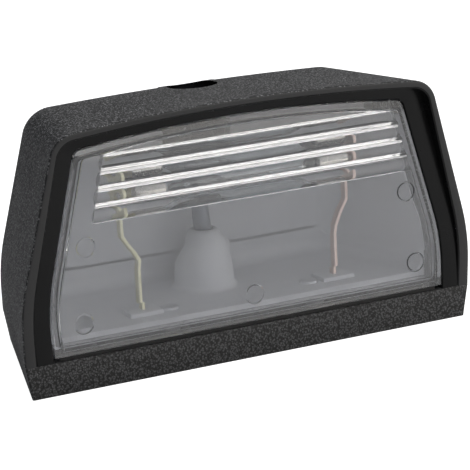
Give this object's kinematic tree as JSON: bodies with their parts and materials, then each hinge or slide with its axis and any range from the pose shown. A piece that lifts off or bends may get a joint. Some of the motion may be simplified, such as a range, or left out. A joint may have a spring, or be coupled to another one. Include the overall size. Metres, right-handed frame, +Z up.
{
  "type": "number plate lamp",
  "caption": "Vehicle number plate lamp with a black sloping hood, a clear fluted front lens, a flat base, an inner reflector and a festoon bulb between two contact strips.",
  "frame": {"origin": "middle of the flat mounting face under the base", "axes": "+X to the lamp's right as seen from in front, +Y from the lens to the back, +Z up from the mounting face to the arched top"},
  "size_m": [0.082, 0.0368, 0.0441],
  "materials": {
    "base_plastic": "black ABS with a coarse leathery moulded grain",
    "hood_plastic": "charcoal black ABS, spark-eroded grain outside, smooth on the rim",
    "clear_lens": "clear moulded polycarbonate, glossy, with half-round flutes inside",
    "seal_rubber": "black EPDM, dull",
    "reflector_plastic": "light grey moulded polypropylene, satin",
    "strip_brass": "bright pale spring brass strip",
    "strip_copper": "copper-coloured spring bronze strip",
    "insert_brass": "turned brass",
    "tinned_metal": "tin plated",
    "zinc_steel": "zinc plated steel",
    "cap_nickel": "nickel plated, bright",
    "bulb_glass": "clear blown glass",
    "filament_wire": "drawn tungsten wire"
  },
  "bodies": {
    "root": {"base": "base_plastic", "mounting_seal": "seal_rubber", "mounting_inserts": "insert_brass", "cable_grommet": "seal_rubber", "hood_seal": "seal_rubber", "hood": "hood_plastic", "lens_seal": "seal_rubber", "lens": "clear_lens", "reflector": "reflector_plastic", "reflector_screws": "zinc_steel", "contact_strip_left": "strip_brass", "contact_strip_right": "strip_copper", "contact_rivets": "tinned_metal", "terminal_tags": "tinned_metal", "bulb_glass": "bulb_glass", "bulb_cap_left": "cap_nickel", "bulb_cap_right": "cap_nickel", "bulb_filament": "filament_wire", "pillar_insert": "insert_brass", "screw_washer": "seal_rubber", "cover_screw": "zinc_steel"}
  },
  "joints": []
}
